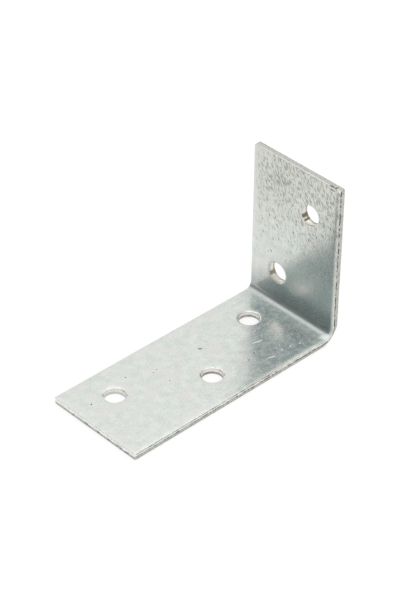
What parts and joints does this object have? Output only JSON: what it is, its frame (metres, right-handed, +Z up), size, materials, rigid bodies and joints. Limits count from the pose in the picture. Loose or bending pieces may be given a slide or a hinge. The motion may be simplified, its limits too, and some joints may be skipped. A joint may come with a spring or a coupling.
{
  "type": "corner brace bracket",
  "caption": "Right-angle corner brace folded from zinc-coated steel strip, with a long leg, a shorter upright and staggered plain screw holes.",
  "frame": {"origin": "under the middle of the bracket's bounding box, on the seating face under the long leg", "axes": "+X along the long leg from its free end to the upright, +Y across the strip, +Z up the upright"},
  "size_m": [0.075, 0.032, 0.05],
  "materials": {
    "zinc_coated_steel": "satin zinc coating, faintly clouded and pitted, with sheared edges"
  },
  "bodies": {
    "root": {"bracket": "zinc_coated_steel"}
  },
  "joints": []
}
